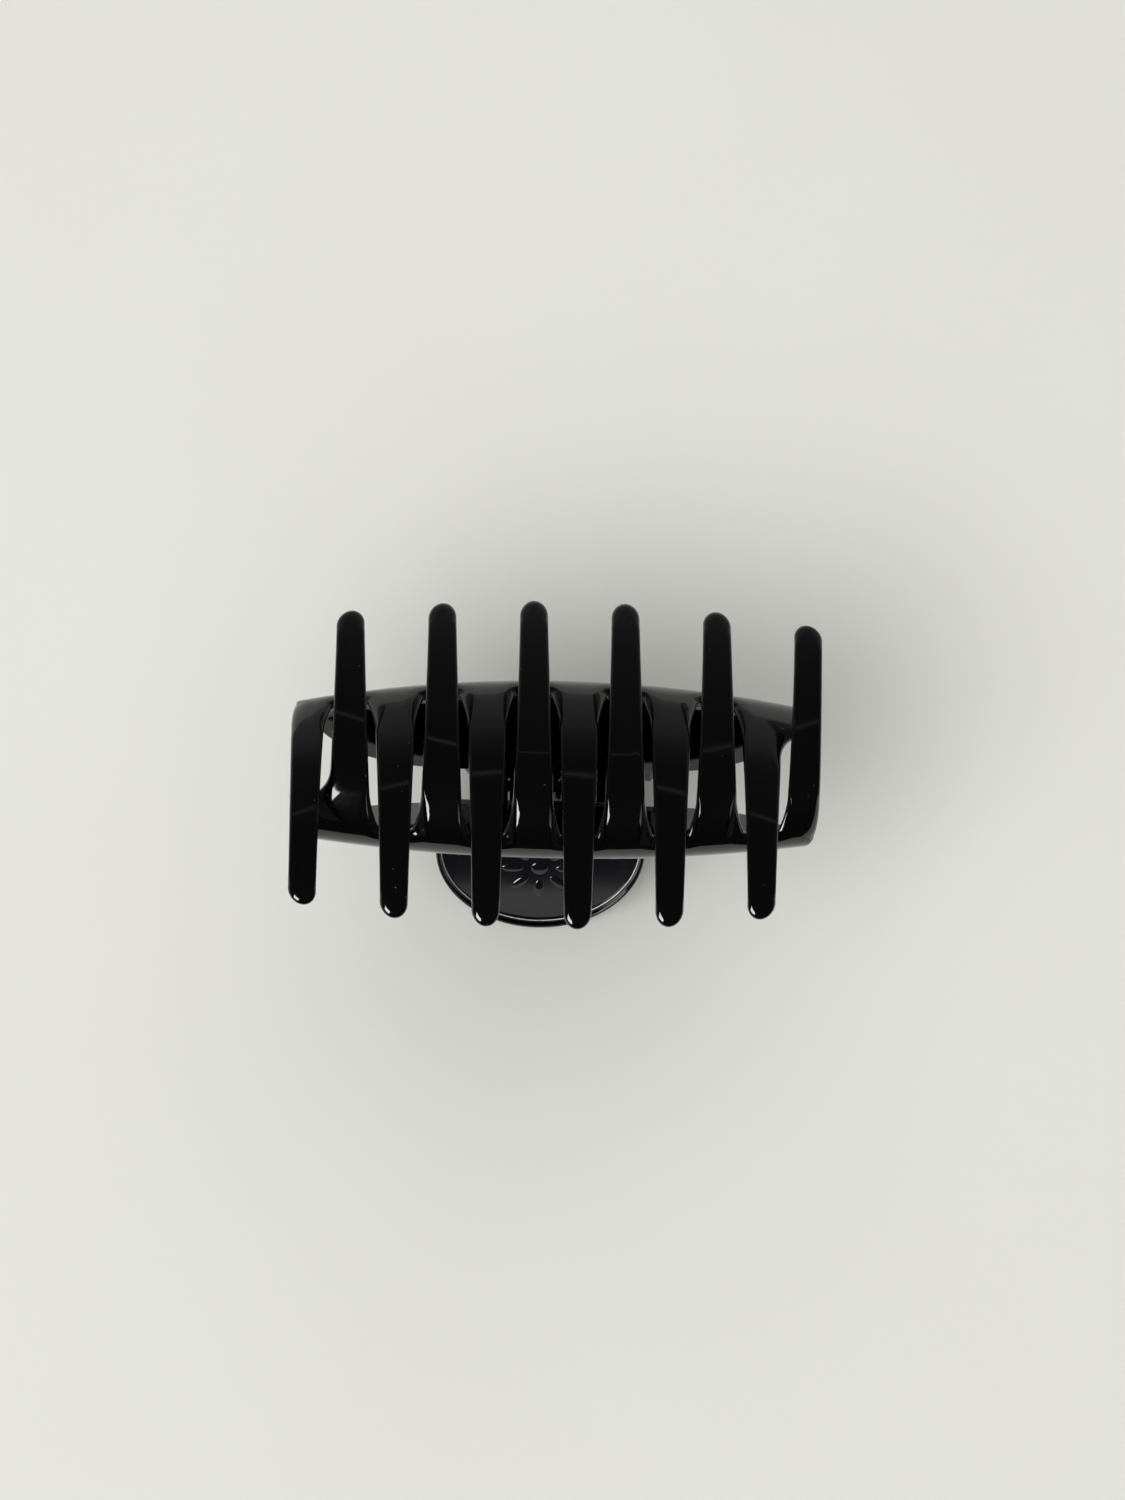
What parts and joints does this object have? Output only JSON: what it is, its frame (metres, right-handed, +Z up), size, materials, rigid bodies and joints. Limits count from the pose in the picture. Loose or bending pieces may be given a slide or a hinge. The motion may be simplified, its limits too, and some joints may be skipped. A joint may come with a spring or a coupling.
{
  "type": "claw hair clip",
  "caption": "Large claw hair clip with arched jaws and curved interlacing teeth, sprung shut on a hinge pin and opened by squeezing its round finger plates.",
  "frame": {"origin": "middle of the bounding box's base: on the ground, under the middle of the hinge", "axes": "+X along the hinge, +Y towards the side the rear handle stands out to, +Z up, through the crest of the teeth"},
  "size_m": [0.1036, 0.065, 0.0627],
  "materials": {
    "black_plastic": "polished injection-moulded plastic",
    "black_enamel": "mirror-gloss inlay",
    "black_steel": "black-coated spring wire and pin"
  },
  "bodies": {
    "front_half": {"front_jaw": "black_plastic", "front_medallion": "black_enamel", "hinge_pin": "black_steel", "torsion_spring": "black_steel"},
    "rear_half": {"rear_jaw": "black_plastic", "rear_medallion": "black_enamel"}
  },
  "joints": [
    {"name": "jaw_hinge", "type": "hinge", "parent": "front_half", "child": "rear_half", "pos_m": [0, 0, 0.02835], "axis": [-1, 0, 0], "range_deg": [0, 52], "stiffness_Nm_per_rad": 0.12, "springref_deg": -68.75, "deforming": ["torsion_spring"]}
  ]
}
